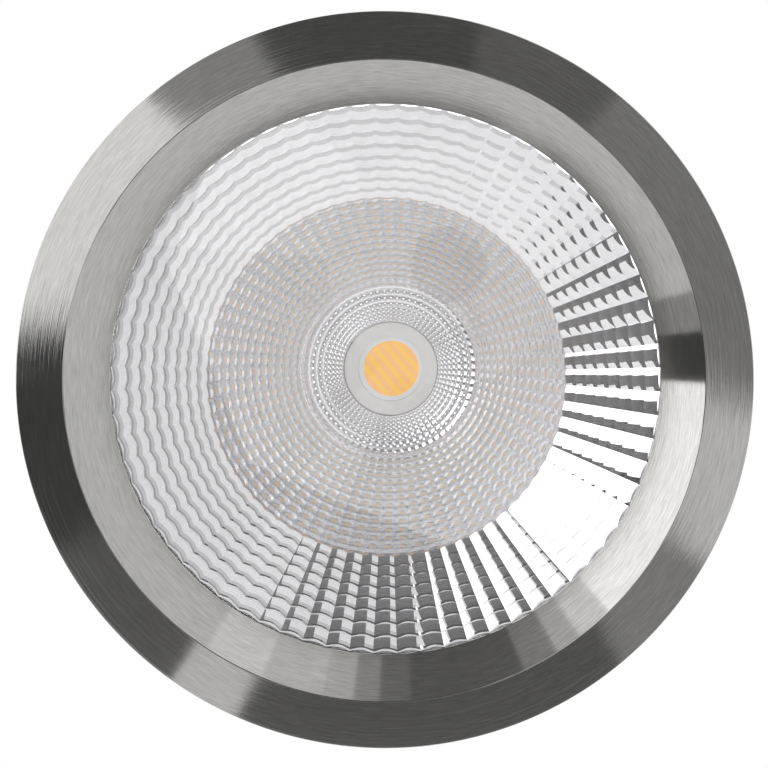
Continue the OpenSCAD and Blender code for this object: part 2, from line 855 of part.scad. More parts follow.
// The gland's body: hexagon flange, a thread through the wall and a thread for the nut
module gland_body() {
    color([0.75, 0.75, 0.76]) translate([0, 0, gland_z]) difference() {
        union() {
            y_cylinder(gland_thread_r, -gland_out - eps, -gland_in + gland_thread_l);
            y_cylinder(gland_hex_r, -gland_face, -gland_out, 6);
            y_cylinder(gland_thread_r, -gland_face - gland_neck_l, -gland_face + eps);
        }
        y_cylinder(cable_r + hole_gap, -gland_face - gland_neck_l - over, 0);
    }
}

// The locknut inside the case
module gland_locknut() {
    color([0.75, 0.75, 0.76]) translate([0, 0, gland_z]) difference() {
        y_cylinder(gland_hex_r, -gland_in, -gland_in + locknut_t, 6);
        y_cylinder(gland_thread_r + thread_gap, -gland_in - over, -gland_in + locknut_t + over);
    }
}

// The rubber ring that the nut squeezes round the cable
module gland_seal() {
    color([0.08, 0.08, 0.08]) translate([0, 0, gland_z]) difference() {
        y_cylinder(gland_thread_r * 0.87, -gland_end + gland_end_wall, -gland_face - gland_neck_l);
        y_cylinder(cable_r, -gland_end, 0);
    }
}

// The gland's nut, six-sided with a smaller round nose
module gland_nut() {
    color([0.75, 0.75, 0.76]) translate([0, 0, gland_z]) difference() {
        union() {
            y_cylinder(gland_hex_r, -gland_end + gland_end_wall, -gland_face - gap, 6);
            y_cylinder(gland_hex_r * cos(30) - thread_gap, -gland_end, -gland_end + gland_end_wall + over);
        }
        y_cylinder(gland_thread_r + thread_gap, -gland_end + gland_end_wall, 0);
        y_cylinder(cable_r, -gland_end - over, 0);
    }
}

// --- Spring clips ---

// Brackets of folded steel: a foot on the flange, two cheeks for the pin and two stops
module clip_brackets() {
    color("silver") at_clips() difference() {
        union() {
            translate([foot_in_x, -cheek_y - cheek_t, flange_z])
                cube([foot_out_x - foot_in_x, 2 * (cheek_y + cheek_t), foot_t]);
            for (side = [0, 1]) mirror([0, side, 0]) {
                translate([0, cheek_y + cheek_t, 0]) rotate([90, 0, 0]) linear_extrude(cheek_t) {
                    polygon([
                        [pivot_x - cheek_back, flange_z],
                        [foot_out_x, flange_z],
                        [pivot_x + cheek_r, pivot_z],
                        [pivot_x - cheek_r, pivot_z]
                    ]);
                    translate([pivot_x, pivot_z]) circle(r = cheek_r);
                }
                translate([stop_x - foot_t, coil_half + wire_d, flange_z + foot_t - eps])
                    cube([foot_t, cheek_y - coil_half - wire_d + eps, stop_h]);
            }
        }
        translate([bracket_screw_x, 0, 0])
            disc(m3[0] + hole_gap, flange_z - over, flange_z + foot_t + over);
        translate([pivot_x - coil_r, -coil_half, 0])
            disc(wire_d / 2 + hole_gap, flange_z + gap, flange_z + foot_t + over);
        translate([pivot_x, 0, pivot_z])
            y_cylinder(pin_r + thread_gap, -cheek_y - cheek_t - over, cheek_y + cheek_t + over);
    }
}

// One screw for each bracket, into a blind hole in the can's flange
module bracket_screws() {
    color("silver") at_clips() translate([bracket_screw_x, 0, flange_z + foot_t])
        screw(m3, foot_t + bracket_screw_depth);
}

// Hinge pins with a flat head at each end
module clip_pins() {
    pin_end = cheek_y + cheek_t + thread_gap;
    color("silver") at_clips() translate([pivot_x, 0, pivot_z]) {
        y_cylinder(pin_r, -pin_end - pin_head_t / 2, pin_end + pin_head_t / 2);
        y_cylinder(pin_r + pin_head, -pin_end - pin_head_t, -pin_end);
        y_cylinder(pin_r + pin_head, pin_end, pin_end + pin_head_t);
    }
}

// Rings of a spring: up the leg that stands in the foot, then round the pin
coil_pitch = 2 * coil_half / spring_turns;
rings_per_turn = 8;
coil_rings = round(spring_turns * rings_per_turn);
leg_end = flange_z + 2 * gap - pivot_z;
leg_rings = [for (i = [0 : 1]) [-coil_r, -coil_half, leg_end * (1 - i * 0.7), 180]];
turn_rings = [
    for (i = [0 : coil_rings])
        let (a = 180 - 360 * spring_turns * i / coil_rings)
        [coil_r * cos(a), -coil_half + 2 * coil_half * i / coil_rings, coil_r * sin(a), a]
];
spring_rings = concat(leg_rings, turn_rings);

// The least gap between turns of one spring, over all pairs more than half a turn apart
spring_gap = min([
    for (i = [0 : coil_rings])
        for (j = [i + rings_per_turn / 2 : 1 : coil_rings])
            norm([for (k = [0 : 2]) turn_rings[i][k] - turn_rings[j][k]]) - wire_d
]);
echo(spring_gap = spring_gap);

// A wire swept through rings, each an x, y, z and the angle of its outward side
module wire(rings, d, sides) {
    points = [
        for (p = rings)
            for (k = [0 : sides - 1])
                let (a = k * 360 / sides, out = d / 2 * cos(a), along = d / 2 * sin(a))
                [p[0] + out * cos(p[3]), p[1] + along, p[2] + out * sin(p[3])]
    ];
    last = (len(rings) - 1) * sides;
    walls = [
        for (i = [0 : len(rings) - 2])
            for (k = [0 : sides - 1])
                let (a = i * sides, b = a + sides, next = (k + 1) % sides)
                each [[a + k, a + next, b + next], [a + k, b + next, b + k]]
    ];
    ends = [
        [for (k = [0 : sides - 1]) sides - 1 - k],
        [for (k = [0 : sides - 1]) last + k]
    ];
    polyhedron(points = points, faces = concat(walls, ends), convexity = 10);
}

// Torsion springs round the pins, each one unbroken wire
module clip_springs() {
    color([0.55, 0.56, 0.58]) at_clips()
        translate([pivot_x, 0, pivot_z]) wire(spring_rings, wire_d, 6);
}

// Puts a clip's moving pieces in place: drawn along x with the pin on y, hanging at rest
module on_pin(number) {
    rotate([0, 0, clip_start + (number - 1) * 360 / clips])
        translate([pivot_x, 0, pivot_z]) rotate([0, arm_rest_angle, 0]) children();
}

// Puts a shape on the toe: drawn from the arm's end, along x as at rest
module on_toe() {
    translate([arm_l, 0, web_n]) rotate([0, -arm_rest_angle, 0]) children();
}

// The arm: two ears on the pin, the strip between them and the toe
module clip_arm(number) {
    color("silver") on_pin(number) difference() {
        union() {
            translate([-strip_back, -arm_w / 2, web_n]) cube([arm_l + strip_back, arm_w, arm_t]);
            on_toe() translate([-eps, -arm_w / 2, 0]) cube([toe_l, arm_w, arm_t]);
            for (side = [0, 1]) mirror([0, side, 0]) translate([0, arm_w / 2, 0])
                rotate([90, 0, 0]) linear_extrude(ear_t) {
                    circle(r = ear_r);
                    polygon([
                        [0, -ear_r],
                        [ear_l, -ear_r],
                        [ear_l + ear_foot, web_n + eps],
                        [-strip_back, web_n + eps],
                        [-ear_r, 0]
                    ]);
                }
        }
        y_cylinder(pin_r + hinge_gap, -arm_w, arm_w);
    }
}

// The soft sleeve on the toe
module clip_pad(number) {
    color([0.15, 0.15, 0.15]) on_pin(number) on_toe() difference() {
        translate([toe_l * 0.3, -arm_w / 2 - pad_wall, -pad_wall])
            cube([toe_l * 0.7 + pad_wall, arm_w + 2 * pad_wall, arm_t + 2 * pad_wall]);
        translate([-over, -arm_w / 2 - thread_gap, -thread_gap])
            cube([toe_l + over + thread_gap, arm_w + 2 * thread_gap, arm_t + 2 * thread_gap]);
    }
}

trim_ring();
soffit_gasket();
lens_glass();
lens_gasket();
reflector();
housing_can();
front_screws();
heat_sink();
sink_seal();
sink_screws();
thermal_pad();
led_board();
led_phosphor();
led_holder();
holder_screws();
led_leads();
lead_grommet();
case_standoffs();
standoff_screws();
driver_case();
case_gasket();
case_cover();
cover_screws();
vent_plug();
driver_board();
board_screws();
transformer();
capacitors();
choke();
terminal_block();
gland_body();
gland_locknut();
gland_seal();
gland_nut();
clip_brackets();
bracket_screws();
clip_pins();
clip_springs();
clip_arm(1);  // clip_arm_1
clip_arm(2);  // clip_arm_2
clip_arm(3);  // clip_arm_3
clip_pad(1);  // clip_pad_1
clip_pad(2);  // clip_pad_2
clip_pad(3);  // clip_pad_3
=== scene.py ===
"""Soffit downlight, dressed for rendering.

Metres, in the frame of the CAD model: z = 0 is the soffit plane, +z points up into the ceiling
and the light shines down. The sizes of the object are written in millimetres and turned to
metres where a mesh is made. The studio round it is in metres, degrees and watts.
"""
import math

import bpy
from mathutils import Matrix, Vector


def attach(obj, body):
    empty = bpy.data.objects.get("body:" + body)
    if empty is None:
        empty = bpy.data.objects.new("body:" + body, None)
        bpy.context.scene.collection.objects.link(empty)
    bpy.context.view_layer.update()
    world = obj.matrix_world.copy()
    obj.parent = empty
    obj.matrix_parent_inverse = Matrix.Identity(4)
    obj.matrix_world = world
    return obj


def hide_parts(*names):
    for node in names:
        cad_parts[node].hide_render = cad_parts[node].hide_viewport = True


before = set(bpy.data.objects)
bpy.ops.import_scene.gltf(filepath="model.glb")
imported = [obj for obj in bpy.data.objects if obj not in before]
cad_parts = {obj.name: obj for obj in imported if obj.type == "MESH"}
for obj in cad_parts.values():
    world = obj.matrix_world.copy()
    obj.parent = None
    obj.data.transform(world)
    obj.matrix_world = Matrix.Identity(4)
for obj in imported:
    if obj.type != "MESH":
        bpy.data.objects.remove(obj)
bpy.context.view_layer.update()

MM = 0.001

# Heights and radii of the front, in millimetres, as in the CAD model
EDGE_Z, RIDGE_Z, LIP_Z, SEAT_Z = -3.0, -6.2, 4.5, 5.5
BACK_Z, SPIGOT_Z = -1.5, 14.0
FACE_R, RIDGE_R, OPENING_R, SPIGOT_R, RECESS_R = 100.0, 86.9, 75.1, 86.5, 79.5
RIM_Z, RIM_R, STEP_R, LEDGE_R, NECK_R, NECK_Z = 9.3, 75.24, 49.8, 49.3, 13.6, 71.2
OUTER_ZONE_H, BOWL_Z, LES_Z, SHOULDER_H, WALL = 11.3, 24.0, 72.0, 3.4, 1.6
FLANGE_R, RIM_BACK_Z, STEP_BACK_R, STEP_BACK_Z = 77.4, 11.05, 51.4, 21.6
SECTORS, OUTER_ROWS, INNER_ROWS, BACK_ROWS = 72, 8, 21, 8


# --- Small tools ---------------------------------------------------------------------------

def colour(text):
    """An sRGB hex colour as linear RGBA."""
    parts = [int(text[i:i + 2], 16) / 255 for i in (1, 3, 5)]
    return [c / 12.92 if c <= 0.04045 else ((c + 0.055) / 1.055) ** 2.4 for c in parts] + [1.0]


def node(tree, kind, inputs=None, **settings):
    """Adds one shader node with its settings; inputs are values or sockets to link."""
    made = tree.nodes.new("ShaderNode" + kind)
    for name, value in settings.items():
        setattr(made, name, value)
    for name, value in (inputs or {}).items():
        if isinstance(value, bpy.types.NodeSocket):
            tree.links.new(value, made.inputs[name])
        else:
            made.inputs[name].default_value = value
    return made


def maths(tree, operation, first, second):
    """What one sum on two values or sockets gives."""
    return node(tree, "Math", {0: first, 1: second}, operation=operation).outputs[0]


def ramp(tree, factor, stops):
    """A colour ramp on a factor. Each stop is a place with a grey or a colour."""
    made = node(tree, "ValToRGB", {"Fac": factor})
    elements = made.color_ramp.elements
    while len(elements) < len(stops):
        elements.new(0.5)
    for element, (place, value) in zip(elements, stops):
        element.position = place
        element.color = value if isinstance(value, list) else [value, value, value, 1.0]
    return made.outputs[0]


def bare(holder):
    """The empty node tree of a world or a material."""
    holder.use_nodes = True
    holder.node_tree.nodes.clear()
    return holder.node_tree


def material(name, base, **sockets):
    """A Principled material; sockets are constants for the shader's own inputs."""
    made = bpy.data.materials.new(name)
    made.use_nodes = True
    tree = made.node_tree
    shader = tree.nodes["Principled BSDF"]
    shader.inputs["Base Color"].default_value = colour(base)
    for key, value in sockets.items():
        shader.inputs[key.replace("_", " ")].default_value = value
    return made, tree, shader


def deselect():
    bpy.ops.object.select_all(action="DESELECT")


def finish_piece(piece, name, made, angle):
    """Names a piece, gives it its material and smooths it below an angle in degrees."""
    piece.name = name
    piece.data.name = name
    piece.data.materials.clear()
    piece.data.materials.append(made)
    deselect()
    piece.select_set(True)
    bpy.context.view_layer.objects.active = piece
    bpy.ops.object.transform_apply(location=True, rotation=True, scale=True)
    bpy.ops.object.shade_smooth_by_angle(angle=math.radians(angle))
    deselect()
    return piece


def spin(steps, weld, copies=False):
    """Sweeps the active mesh once round the z axis, or copies it round, and welds its points."""
    bpy.ops.object.mode_set(mode="EDIT")
    bpy.ops.mesh.select_all(action="SELECT")
    bpy.ops.mesh.spin(steps=steps, angle=math.tau, center=(0, 0, 0), axis=(0, 0, 1), dupli=copies)
    bpy.ops.mesh.select_all(action="SELECT")
    bpy.ops.mesh.remove_doubles(threshold=weld)
    bpy.ops.mesh.normals_make_consistent(inside=False)
    bpy.ops.object.mode_set(mode="OBJECT")


def rounded(points, segments=4):
    """Rounds an outline's corners. A point is (x, y) or (x, y, radius)."""
    outline = []
    count = len(points)
    for i, point in enumerate(points):
        here = Vector(point[:2])
        size = point[2] if len(point) > 2 else 0
        if not size:
            outline.append(tuple(here))
            continue
        before = Vector(points[i - 1][:2]) - here
        after = Vector(points[(i + 1) % count][:2]) - here
        turn = before.angle(after)
        # a corner never takes as much as half of the side next to it
        reach = min(size / math.tan(turn / 2), before.length * 0.49, after.length * 0.49)
        start = here + before.normalized() * reach
        end = here + after.normalized() * reach
        for k in range(segments + 1):
            t = k / segments
            outline.append(tuple(start * (1 - t) ** 2 + here * 2 * t * (1 - t) + end * t ** 2))
    return outline


def lathe(name, outline, made, steps, angle=30):
    """Spins a closed outline of (radius, height) in millimetres round the z axis."""
    deselect()
    bpy.ops.mesh.primitive_circle_add(vertices=len(outline), radius=MM)
    piece = bpy.context.object
    for vertex, (r, z) in zip(piece.data.vertices, outline):
        vertex.co = (r * MM, 0, z * MM)
    spin(steps, weld=1e-7)
    return finish_piece(piece, name, made, angle)


def dress(names, made):
    """Gives CAD nodes a material."""
    for name in names.split():
        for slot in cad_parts[name].material_slots:
            slot.material = made


# --- Camera --------------------------------------------------------------------------------

# The camera stands 1.2 m below the trim, a little off its axis, and looks up. Image right is -x.
CAMERA_LENS_MM, CAMERA_SENSOR_MM, CAMERA_REACH = 208.06, 36, 100
CAMERA_STAND = Vector((-0.0332, 0.0599, -1.203))
CAMERA_AIM = Vector((-0.00003, -0.00076, -0.003))

camera_data = bpy.data.cameras.new("camera")
camera_data.lens = CAMERA_LENS_MM
camera_data.sensor_width = CAMERA_SENSOR_MM
camera_data.clip_end = CAMERA_REACH
camera = bpy.data.objects.new("camera", camera_data)
bpy.context.scene.collection.objects.link(camera)
forward = (CAMERA_AIM - CAMERA_STAND).normalized()
right = forward.cross(Vector((0, 1, 0))).normalized()
up = right.cross(forward)
facing = Matrix((right, up, -forward)).transposed().to_4x4()
camera.matrix_world = Matrix.Translation(CAMERA_STAND) @ facing
bpy.context.scene.camera = camera
bpy.context.scene.view_settings.view_transform = "Standard"


# --- Stage and light -----------------------------------------------------------------------

WHITE = [1.0, 1.0, 1.0, 1.0]
# Brightness of the white world where it lights the object, and where it is seen
WORLD_LIGHT, WORLD_SEEN = 0.7, 1.0
FLOOR_SIZE, FLOOR_Z, FLOOR_GLOW = 40, -1.5, 0.28
# Cloths lie on a ball round the trim: its radius, and the sides of a cloth's grid
STUDIO_R, CLOTH_GRID = 1.3, 8
LAMP_SIZE, LAMP_POWER, LAMP_Z = 0.06, 0.012, 0.012


def towards(azimuth, tilt, distance):
    """A place seen from the trim: azimuth as in the image, tilt from straight down, metres."""
    a, t = math.radians(azimuth), math.radians(tilt)
    return Vector((-math.cos(a) * math.sin(t), math.sin(a) * math.sin(t), -math.cos(t))) * distance


def glow(name, level):
    """A plain glowing cloth of an even level."""
    made = bpy.data.materials.new(name)
    tree = bare(made)
    light = node(tree, "Emission", {"Color": WHITE, "Strength": level})
    node(tree, "OutputMaterial", {"Surface": light.outputs[0]})
    return made


def cloth(name, azimuths, tilts, level, glossy=True, transmission=True):
    """A patch of glowing studio cloth, part of the stage and out of the camera's sight. Its
    azimuths are a start and an end, or a start and the ends at its lower and its upper tilt."""
    start, *ends = azimuths
    made = glow(name + "_cloth", level)
    deselect()
    bpy.ops.mesh.primitive_grid_add(x_subdivisions=CLOTH_GRID, y_subdivisions=CLOTH_GRID, size=2)
    piece = bpy.context.object
    piece.name = name
    for vertex in piece.data.vertices:
        u, v = (vertex.co.x + 1) / 2, (vertex.co.y + 1) / 2
        end = ends[0] + (ends[-1] - ends[0]) * v
        tilt = tilts[0] + (tilts[1] - tilts[0]) * v
        vertex.co = towards(start + (end - start) * u, tilt, STUDIO_R)
    piece.data.materials.append(made)
    piece.visible_camera = False
    piece.visible_diffuse = False
    piece.visible_shadow = False
    piece.visible_glossy = glossy
    piece.visible_transmission = transmission
    deselect()


def studio_world():
    """A world that is white to the camera, in reflections and through glass, and lights the
    object more softly."""
    world = bpy.data.worlds.new("studio")
    bpy.context.scene.world = world
    tree = bare(world)
    rays = node(tree, "LightPath").outputs
    seen = maths(tree, "MAXIMUM", rays["Is Camera Ray"], rays["Is Glossy Ray"])
    seen = maths(tree, "MAXIMUM", seen, rays["Is Transmission Ray"])
    strength = node(tree, "MapRange", {"Value": seen, "To Min": WORLD_LIGHT, "To Max": WORLD_SEEN})
    sky = node(tree, "Background", {"Color": WHITE, "Strength": strength.outputs[0]})
    node(tree, "OutputWorld", {"Surface": sky.outputs[0]})


def studio_floor():
    """A plain pale floor far below the fitting, which looks white and keeps shadows. It shows
    paler in metal and glass, as the world does."""
    paint, tree, shader = material("matt_floor_paint", "#EDEDED", Roughness=0.9)
    rays = node(tree, "LightPath").outputs
    seen = maths(tree, "MAXIMUM", rays["Is Glossy Ray"], rays["Is Transmission Ray"])
    shader.inputs["Emission Color"].default_value = WHITE
    tree.links.new(maths(tree, "MULTIPLY", seen, FLOOR_GLOW), shader.inputs["Emission Strength"])
    deselect()
    bpy.ops.mesh.primitive_plane_add(size=FLOOR_SIZE, location=(0, 0, FLOOR_Z))
    floor = bpy.context.object
    floor.name = "floor"
    floor.data.materials.append(paint)
    deselect()


def led_fill():
    """A small soft lamp behind the lens. It stands for the light that reaches the LED through
    the lens, which the sampling misses, and lights only the matt pieces there."""
    lamp_data = bpy.data.lights.new("led_fill", "AREA")
    lamp_data.shape = "DISK"
    lamp_data.size = LAMP_SIZE
    lamp_data.energy = LAMP_POWER
    lamp = bpy.data.objects.new("led_fill", lamp_data)
    bpy.context.scene.collection.objects.link(lamp)
    lamp.location = (0, 0, LAMP_Z)
    lamp.rotation_euler = (math.pi, 0, 0)
    lamp.visible_camera = False
    lamp.visible_glossy = False
    lamp.visible_transmission = False


studio_world()
studio_floor()

# The studio round the camera, as name, azimuths, tilts and level. The steel ring shows these
# cloths: a large white panel at the upper left, graded at its ends, and darker room round it.
for name, azimuths, tilts, level in (
    ("ring_right", (-8, 50), (3, 60), 0.31),
    ("ring_top_right", (50, 76), (3, 60), 0.18),
    ("ring_top", (76, 114), (3, 60), 0.11),
    ("ring_panel_edge", (114, 134), (3, 60), 0.4),
    ("ring_panel", (134, 176), (3, 60), 1.25),
    ("ring_panel_top", (138, 183), (60, 93), 1.75),
    ("ring_panel_top_2", (131, 138), (60, 93), 1.12),
    ("ring_panel_top_3", (126, 131), (60, 93), 0.72),
    ("ring_panel_top_4", (119, 126), (60, 93), 0.36),
    ("ring_left", (176, 210), (3, 62), 0.075),
    ("ring_left_high", (183, 192), (62, 93), 0.08),
    ("ring_left_high_edge", (192, 199), (62, 93), 0.45),
    ("ring_low_left", (210, 235), (3, 60), 0.16),
    ("ring_bottom", (246, 306), (3, 60), 0.15),
    ("ring_low_right", (306, 326), (3, 60), 0.36),
    ("ring_top_high", (97, 119), (60, 93), 0.17),
    ("ring_top_high_2", (91, 97), (60, 93), 0.25),
    ("ring_top_high_3", (86, 91), (60, 93), 0.45),
    ("ring_top_high_4", (80, 86), (60, 93), 0.75),
    ("ring_top_high_end", (56, 68), (60, 93), 1.1),
):
    cloth(name, azimuths, tilts, level, transmission=False)

# These are what the reflector and the LED see through the lens: the same panel, flags beside it
# and greyer paper low down
for name, azimuths, tilts, level in (
    ("lens_panel", (122, 177), (29, 93), 2.2),
    ("lens_left_flag", (177, 197), (44, 93), 0.05),
    ("lens_left_flag_low", (177, 226, 197), (27, 44), 0.04),
    ("lens_top_flag", (82, 118), (31, 93), 0.18),
    ("lens_dark_paper", (60, 122), (27, 31), 0.1),
    ("lens_soft_paper", (-130, 60), (27, 31), 0.4),
    ("lens_grey_paper", (-130, 82), (31, 41), 0.62),
    ("lens_rim_paper", (0, 360), (7, 20), 0.2),
    ("lens_low_paper", (0, 360), (20, 27), 0.75),
    ("lens_camera_paper", (0, 360), (1, 7), 2.6),
):
    cloth(name, azimuths, tilts, level, glossy=False)

led_fill()


# --- Materials of the front ----------------------------------------------------------------

# The brushing in metres: noise cells to a metre across the lines (grit 180 leaves lines about
# 0.1 mm apart; they are drawn 0.3 mm apart, to show), and the relief of a line
BRUSH_CELLS, BRUSH_RELIEF = 3300.0, 0.0002
# Cells along a line and octaves, for the strokes that tint the steel and the lines in relief
STROKES, LINES = (16.0, 3.0), (0.6, 1.0)
# The brushing changes at the ridge, between these radii in metres, and the lines of the inner
# slope have this share of the relief
RIDGE_FROM, RIDGE_TO, INNER_RELIEF = 0.0866, 0.0872, 0.15
# Noise seldom leaves these values, so the darkest and the lightest tone lie there
TONE_LOW, TONE_HIGH = 0.3, 0.7
# The bands of the phosphor: their turn in degrees, and the scale of the wave that draws them
BAND_TURN, BAND_SCALE = 38, 112.0
# How much the phosphor and the alumina glow. Both glows are painted light: they stand in for the
# light that reaches them behind the lens and that the sampling misses
PHOSPHOR_PAINTED_GLOW, ALUMINA_GLOW = 0.25, 0.24


def polar_noise(tree, across, turns, along, detail):
    """Noise drawn out round the z axis, from the radius across and the direction round it."""
    along_x = maths(tree, "MULTIPLY", turns.outputs[0], along)
    along_y = maths(tree, "MULTIPLY", turns.outputs[1], along)
    polar = node(tree, "CombineXYZ", {0: across, 1: along_x, 2: along_y})
    noise = node(tree, "TexNoise", {"Vector": polar.outputs[0], "Scale": 1.0, "Detail": detail,
                                    "Roughness": 0.65})
    return noise.outputs["Fac"]


def brushed_ring():
    """Stainless steel 304, turned and brushed round its axis: long fine lines, a wide gloss
    across them and a crisp one along them."""
    made, tree, shader = material("stainless_steel_brushed", "#B9B8B6", Metallic=1.0,
                                  Roughness=0.12, Anisotropic=1.0, Anisotropic_Rotation=0.25)
    tangent = node(tree, "Tangent", direction_type="RADIAL", axis="Z")
    tree.links.new(tangent.outputs[0], shader.inputs["Tangent"])
    place = node(tree, "TexCoord")
    parts = node(tree, "SeparateXYZ", {0: place.outputs["Object"]})
    flat = node(tree, "CombineXYZ", {0: parts.outputs[0], 1: parts.outputs[1]})
    radius = node(tree, "VectorMath", {0: flat.outputs[0]}, operation="LENGTH").outputs["Value"]
    turn = node(tree, "VectorMath", {0: flat.outputs[0]}, operation="NORMALIZE")
    turns = node(tree, "SeparateXYZ", {0: turn.outputs[0]})
    across = maths(tree, "MULTIPLY", radius, BRUSH_CELLS)
    strokes = polar_noise(tree, across, turns, *STROKES)
    lines = polar_noise(tree, across, turns, *LINES)
    shade = ramp(tree, strokes, [(TONE_LOW, colour("#ABAAA8")), (TONE_HIGH, colour("#C5C4C2"))])
    tree.links.new(shade, shader.inputs["Base Color"])
    outside = node(tree, "MapRange", {"Value": radius, "From Min": RIDGE_FROM,
                                      "From Max": RIDGE_TO, "To Min": INNER_RELIEF, "To Max": 1.0})
    height = maths(tree, "MULTIPLY", lines, outside.outputs[0])
    bump = node(tree, "Bump", {"Height": height, "Strength": 0.3, "Distance": BRUSH_RELIEF})
    tree.links.new(bump.outputs[0], shader.inputs["Normal"])
    return made


def cast_phosphor():
    """Silicone with phosphor powder, cast inside the dam: amber, glossy, with soft bands where
    the rows of chips lie under it. It glows a little, as painted light, and pales at a slant, as a
    painted sheen of the clear silicone over the powder."""
    made, tree, shader = material("phosphor_silicone_cast", "#FFC02E", Roughness=0.35,
                                  Specular_IOR_Level=0.3)
    place = node(tree, "TexCoord")
    turned = node(tree, "Mapping", {"Vector": place.outputs["Object"],
                                    "Rotation": (0, 0, math.radians(BAND_TURN))})
    bands = node(tree, "TexWave", {"Vector": turned.outputs[0], "Scale": BAND_SCALE,
                                   "Distortion": 1.2, "Detail": 1.0, "Detail Scale": 0.6},
                 bands_direction="X")
    shade = ramp(tree, bands.outputs["Fac"], [(0.1, colour("#FFC032")), (1.0, colour("#F0B466"))])
    # painted reflection: seen at a slant, the colour and the glow are mixed towards a pale grey,
    # for the sheen of the clear silicone over the powder
    slant = node(tree, "LayerWeight", {"Blend": 0.5})
    pale = ramp(tree, slant.outputs["Facing"], [(0.03, 0.0), (0.25, 0.6)])
    slant_sheen = node(tree, "MixRGB", {"Fac": pale, "Color1": shade, "Color2": colour("#D8CCC0")})
    tree.links.new(slant_sheen.outputs[0], shader.inputs["Base Color"])
    tree.links.new(slant_sheen.outputs[0], shader.inputs["Emission Color"])
    # painted light: a small glow in the phosphor's own colour, for the light that reaches it
    # through the lens
    shader.inputs["Emission Strength"].default_value = PHOSPHOR_PAINTED_GLOW
    return made


def grained(name, low, high, grain, relief, **sockets):
    """A material whose tone wanders between two colours over a grain in millimetres, with a
    relief in millimetres and a roughness that follow it."""
    made, tree, shader = material(name, low, **sockets)
    place = node(tree, "TexCoord")
    noise = node(tree, "TexNoise", {"Vector": place.outputs["Object"], "Scale": 1 / (grain * MM),
                                    "Detail": 4.0, "Roughness": 0.6}).outputs["Fac"]
    shade = ramp(tree, noise, [(TONE_LOW, colour(low)), (TONE_HIGH, colour(high))])
    tree.links.new(shade, shader.inputs["Base Color"])
    rough = shader.inputs["Roughness"].default_value
    spread = node(tree, "MapRange", {"Value": noise, "To Min": rough * 0.85,
                                     "To Max": min(1.0, rough * 1.15)})
    tree.links.new(spread.outputs[0], shader.inputs["Roughness"])
    bump = node(tree, "Bump", {"Height": noise, "Strength": 0.6, "Distance": relief * MM})
    tree.links.new(bump.outputs[0], shader.inputs["Normal"])
    return made


def fired_alumina():
    """Fired alumina: white, matt, a fine crystal grain. It glows a little, for the light that
    bounces between the dam and the holder and that the sampling misses."""
    made = grained("alumina_fired", "#B4B7BA", "#BDBFC1", 0.6, 0.005, Roughness=0.5)
    shader = made.node_tree.nodes["Principled BSDF"]
    shader.inputs["Emission Color"].default_value = WHITE
    shader.inputs["Emission Strength"].default_value = ALUMINA_GLOW
    return made


steel = brushed_ring()
phosphor = cast_phosphor()
ceramic = fired_alumina()
# Toughened float glass, fire polished: clear and smooth
clear, *_ = material("glass_toughened", "#FFFFFF", Roughness=0.0, IOR=1.5, Transmission_Weight=1.0)
# Polycarbonate metallised in a vacuum: a bright mirror with a faint orange peel under it
bright = grained("polycarbonate_metallised", "#EDECEE", "#F3F2F4", 6.0, 0.002,
                 Metallic=1.0, Roughness=0.03)
# Silicone from a mould: black, soft sheen, slightly clouded by talc
silicone = grained("silicone_moulded", "#0A0A0A", "#161616", 3.0, 0.02, Roughness=0.6)
# Glass-filled PBT from a fine spark-eroded mould: white, satin, a faint flow pattern
white_plastic = grained("pbt_white_moulded", "#E8E6E4", "#EDECEA", 2.5, 0.01, Roughness=0.45)


# --- Materials behind the trim -------------------------------------------------------------

# Closed-cell sponge, cut from sheet: its cells show at the cut (0.4 mm cells drawn 0.8 mm)
sponge = grained("sponge_rubber_cut", "#0C0C0C", "#1E1E1E", 0.8, 0.25, Roughness=0.9)
# Aluminium from a die, shot blasted and lacquered: grey, satin, dimpled at 0.8 mm
cast = grained("aluminium_die_cast", "#9C9EA0", "#B0B2B4", 0.8, 0.04, Metallic=1.0, Roughness=0.48)
# The same alloy as extruded and anodised for the heat sink: a little brighter and drier
fin_metal = grained("aluminium_anodised", "#A9ABAE", "#B8BABC", 1.5, 0.015,
                    Metallic=1.0, Roughness=0.42)
# Cold-formed stainless screws: bright, with fine scratches from the tumbling barrel
screw_steel = grained("stainless_steel_formed", "#AFAFAD", "#BFBFBD", 0.5, 0.006,
                      Metallic=1.0, Roughness=0.28)
# Zinc on pressed steel: a cool tone with faint crystal patches
zinc = grained("steel_zinc_plated", "#A4AAB2", "#BCC0C6", 2.0, 0.006, Metallic=1.0, Roughness=0.34)
# Hard-drawn spring wire and strip: darker, with drawing marks
spring_steel = grained("spring_steel_drawn", "#8E9092", "#A6A8AA", 0.7, 0.008,
                       Metallic=1.0, Roughness=0.3)
# Brass turned and nickel plated: bright and slightly warm
nickel = grained("brass_nickel_plated", "#B9B3A8", "#C6C1B7", 1.2, 0.004,
                 Metallic=1.0, Roughness=0.24)
# Nylon from a mould: near black, satin
nylon = grained("nylon_moulded", "#131313", "#1D1D1D", 1.0, 0.015, Roughness=0.5)
# Vinyl dipped on the toes: soft black with a skin
sleeve = grained("vinyl_dipped", "#101012", "#1A1A1C", 2.0, 0.03, Roughness=0.55)
# Solder mask over glass weave: green, with the weave of 0.5 mm showing faintly
board_green = grained("circuit_board_masked", "#17492F", "#1F5A3A", 0.5, 0.008, Roughness=0.35)
# Sintered ferrite: near black and dry
ferrite = grained("ferrite_sintered", "#232325", "#303033", 0.6, 0.01, Roughness=0.7)
# Shrink sleeve on the capacitors: dark blue and glossy
sleeve_blue = grained("pet_shrink_sleeve", "#1B2A4A", "#22345A", 4.0, 0.005, Roughness=0.25)
